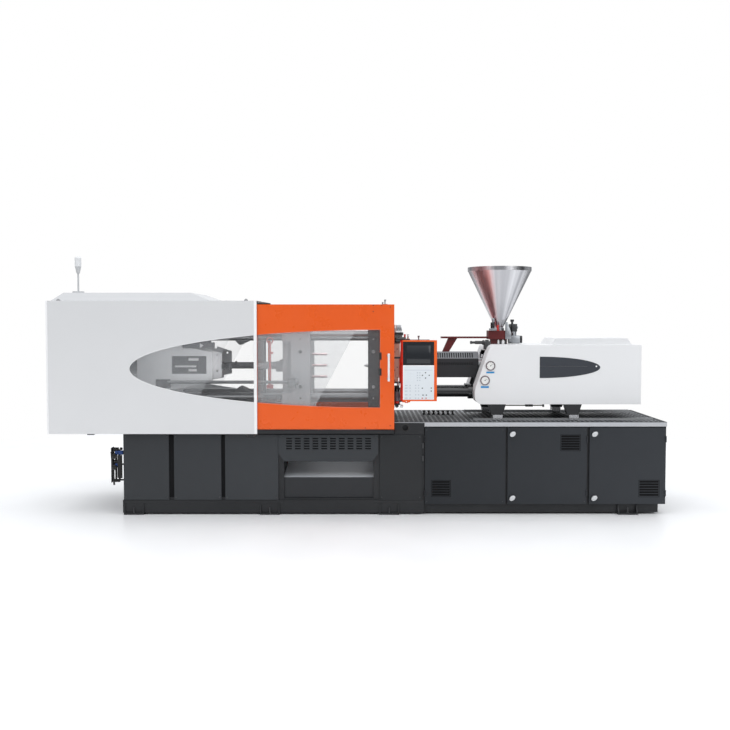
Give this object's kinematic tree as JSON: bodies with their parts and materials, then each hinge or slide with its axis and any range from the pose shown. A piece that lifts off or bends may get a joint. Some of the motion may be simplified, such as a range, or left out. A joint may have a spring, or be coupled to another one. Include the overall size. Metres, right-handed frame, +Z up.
{
  "type": "injection moulding machine",
  "caption": "Horizontal toggle-clamp injection moulding machine with sliding guards, operator panel, screw injection unit and a cone hopper over a welded two-part bed.",
  "frame": {"origin": "on the floor, under the middle of the whole machine", "axes": "+X along the machine towards the injection end, +Y to the rear side, +Z up; the operator stands at -Y"},
  "size_m": [5.272, 1.308, 2.217],
  "materials": {
    "bed_black": "satin powder coat, slightly textured",
    "deck_steel": "dark tread plate with a pale folded edge",
    "ground_steel": "ground and oiled",
    "bright_steel": "polished",
    "casting_grey": "grey enamel over a casting",
    "chromed_bar": "hard chrome",
    "white_sheet": "satin powder coat",
    "orange_sheet": "semi-gloss powder coat",
    "clear_pane": "clear polycarbonate",
    "dark_pane": "smoked",
    "lamp_grey": "moulded",
    "lamp_lens": "frosted lens",
    "link_dark": "dark enamel",
    "shroud_grey": "dark sheet, slotted",
    "black_gloss": "gloss",
    "purge_red": "salmon enamel",
    "stainless": "spun and polished",
    "dark_red": "dark red enamel",
    "valve_grey": "machined",
    "screen_black": "gloss",
    "button_red": "moulded"
  },
  "bodies": {
    "base": {"clamp_bed": "bed_black", "cladding_panels": "bed_black", "drop_chute": "bed_black", "feet": "bed_black", "slide_ways": "ground_steel", "injection_bed": "bed_black", "deck_plate": "deck_steel", "fixed_platen": "casting_grey", "tie_bars": "chromed_bar", "guard_front": "white_sheet", "guard_rear": "white_sheet", "guard_roof": "white_sheet", "guard_windows": "clear_pane", "guard_frame": "bed_black", "beacon_stem": "lamp_grey", "beacon_lamp": "lamp_lens", "pull_rods": "chromed_bar", "hinge_brackets": "link_dark", "water_manifold": "link_dark"},
    "rear_platen": {"rear_platen": "casting_grey", "clamp_cylinder": "link_dark"},
    "crosshead": {"crosshead": "link_dark"},
    "moving_platen": {"moving_platen": "casting_grey", "safety_rod": "ground_steel"},
    "ejector": {"ejector": "ground_steel"},
    "front_door": {"front_door": "orange_sheet", "front_door_window": "clear_pane"},
    "rear_door": {"rear_door": "orange_sheet", "rear_door_window": "clear_pane"},
    "carriage": {"injection_housing": "link_dark", "rail_blocks": "bright_steel", "barrel": "ground_steel", "barrel_shroud": "shroud_grey", "injection_cover": "white_sheet", "cover_windows": "dark_pane", "gauges": "bright_steel", "pull_cylinders": "black_gloss", "hopper_bar": "dark_red", "valve_blocks": "valve_grey"},
    "injection_drive": {"injection_drive": "link_dark"},
    "screw": {"screw": "ground_steel"},
    "hopper": {"hopper": "stainless", "hopper_slide": "dark_red"},
    "operator_panel": {"panel_housing": "orange_sheet", "panel_screen": "screen_black"},
    "stop_button": {"stop_button": "button_red"},
    "purge_guard": {"purge_guard": "purge_red"},
    "rear_link_upper": {"rear_link_upper": "link_dark"},
    "rear_link_lower": {"rear_link_lower": "link_dark"},
    "front_link_upper": {"front_link_upper": "link_dark"},
    "front_link_lower": {"front_link_lower": "link_dark"},
    "small_links_upper": {"small_links_upper": "link_dark"},
    "small_links_lower": {"small_links_lower": "link_dark"},
    "cabinet_door_left": {"cabinet_door_left": "bed_black"},
    "cabinet_door_middle": {"cabinet_door_middle": "bed_black"},
    "cabinet_door_right": {"cabinet_door_right": "bed_black"},
    "lock_middle_lower": {"lock_middle_lower": "bright_steel"},
    "lock_middle_upper": {"lock_middle_upper": "bright_steel"},
    "lock_right_lower": {"lock_right_lower": "bright_steel"},
    "lock_right_upper": {"lock_right_upper": "bright_steel"}
  },
  "joints": [
    {"name": "mould_height", "type": "slide", "parent": "base", "child": "rear_platen", "axis": [1, 0, 0], "range_m": [-0.08, 0]},
    {"name": "toggle", "type": "hinge", "parent": "rear_platen", "child": "rear_link_upper", "pos_m": [-1.245, 0, 1.557], "axis": [0, 1, 0], "range_deg": [0, 76]},
    {"name": "knee_upper", "type": "hinge", "parent": "rear_link_upper", "child": "front_link_upper", "pos_m": [-0.985, 0, 1.557], "axis": [0, 1, 0], "range_deg": [-153, 0]},
    {"name": "platen_pivot", "type": "hinge", "parent": "front_link_upper", "child": "moving_platen", "pos_m": [-0.725, 0, 1.557], "axis": [0, 1, 0], "range_deg": [0, 77]},
    {"name": "toggle_lower", "type": "hinge", "parent": "rear_platen", "child": "rear_link_lower", "pos_m": [-1.245, 0, 0.953], "axis": [0, 1, 0], "range_deg": [-77, 0]},
    {"name": "knee_lower", "type": "hinge", "parent": "rear_link_lower", "child": "front_link_lower", "pos_m": [-0.985, 0, 0.953], "axis": [0, 1, 0], "range_deg": [0, 153]},
    {"name": "drive_upper", "type": "hinge", "parent": "rear_link_upper", "child": "small_links_upper", "pos_m": [-1.06374, 0, 1.47248], "axis": [0, 1, 0], "range_deg": [-153, 0]},
    {"name": "drive_lower", "type": "hinge", "parent": "rear_link_lower", "child": "small_links_lower", "pos_m": [-1.06374, 0, 1.03752], "axis": [0, 1, 0], "range_deg": [0, 153]},
    {"name": "crosshead_pivot", "type": "hinge", "parent": "small_links_upper", "child": "crosshead", "pos_m": [-0.88248, 0, 1.557], "axis": [0, 1, 0], "range_deg": [0, 77]},
    {"name": "ejector_stroke", "type": "slide", "parent": "moving_platen", "child": "ejector", "axis": [1, 0, 0], "range_m": [-0.136, 0]},
    {"name": "front_door_slide", "type": "slide", "parent": "base", "child": "front_door", "axis": [1, 0, 0], "range_m": [-1, 0]},
    {"name": "rear_door_slide", "type": "slide", "parent": "base", "child": "rear_door", "axis": [1, 0, 0], "range_m": [-1, 0]},
    {"name": "cabinet_hinge_left", "type": "hinge", "parent": "base", "child": "cabinet_door_left", "pos_m": [0.57, -0.5565, 0.42], "axis": [0, 0, 1], "range_deg": [-110, 0]},
    {"name": "cabinet_hinge_middle", "type": "hinge", "parent": "base", "child": "cabinet_door_middle", "pos_m": [1.955, -0.5565, 0.42], "axis": [0, 0, 1], "range_deg": [0, 110]},
    {"name": "cabinet_hinge_right", "type": "hinge", "parent": "base", "child": "cabinet_door_right", "pos_m": [2.627, -0.5565, 0.42], "axis": [0, 0, 1], "range_deg": [0, 110]},
    {"name": "lock_turn_middle_lower", "type": "hinge", "parent": "cabinet_door_middle", "child": "lock_middle_lower", "pos_m": [1.316, -0.55, 0.146], "axis": [0, 1, 0], "range_deg": [0, 90]},
    {"name": "lock_turn_middle_upper", "type": "hinge", "parent": "cabinet_door_middle", "child": "lock_middle_upper", "pos_m": [1.316, -0.55, 0.695], "axis": [0, 1, 0], "range_deg": [0, 90]},
    {"name": "lock_turn_right_lower", "type": "hinge", "parent": "cabinet_door_right", "child": "lock_right_lower", "pos_m": [2.016, -0.55, 0.146], "axis": [0, 1, 0], "range_deg": [0, 90]},
    {"name": "lock_turn_right_upper", "type": "hinge", "parent": "cabinet_door_right", "child": "lock_right_upper", "pos_m": [2.016, -0.55, 0.695], "axis": [0, 1, 0], "range_deg": [0, 90]},
    {"name": "carriage_slide", "type": "slide", "parent": "base", "child": "carriage", "axis": [1, 0, 0], "range_m": [0, 0.12]},
    {"name": "injection_stroke", "type": "slide", "parent": "carriage", "child": "injection_drive", "axis": [1, 0, 0], "range_m": [0, 0.16]},
    {"name": "screw_spin", "type": "hinge", "parent": "injection_drive", "child": "screw", "pos_m": [0.4, 0, 1.255], "axis": [1, 0, 0], "continuous": true},
    {"name": "hopper_slide_joint", "type": "slide", "parent": "carriage", "child": "hopper", "axis": [1, 0, 0], "range_m": [-0.35, 0]},
    {"name": "panel_swivel", "type": "hinge", "parent": "base", "child": "operator_panel", "pos_m": [0.364, -0.528, 1.24], "axis": [0, 0, 1], "range_deg": [-45, 0]},
    {"name": "stop_press", "type": "slide", "parent": "operator_panel", "child": "stop_button", "axis": [0, 0, -1], "range_m": [0, 0.005], "stiffness_N_per_m": 800},
    {"name": "purge_slide", "type": "slide", "parent": "base", "child": "purge_guard", "axis": [1, 0, 0], "range_m": [0, 0.3]}
  ],
  "couplings": [
    {"joint": "knee_upper", "follows": "toggle", "ratio": -2},
    {"joint": "platen_pivot", "follows": "toggle", "ratio": 1},
    {"joint": "toggle_lower", "follows": "toggle", "ratio": -1},
    {"joint": "knee_lower", "follows": "toggle", "ratio": 2},
    {"joint": "drive_upper", "follows": "toggle", "ratio": -2},
    {"joint": "drive_lower", "follows": "toggle", "ratio": 2},
    {"joint": "crosshead_pivot", "follows": "toggle", "ratio": 1}
  ]
}
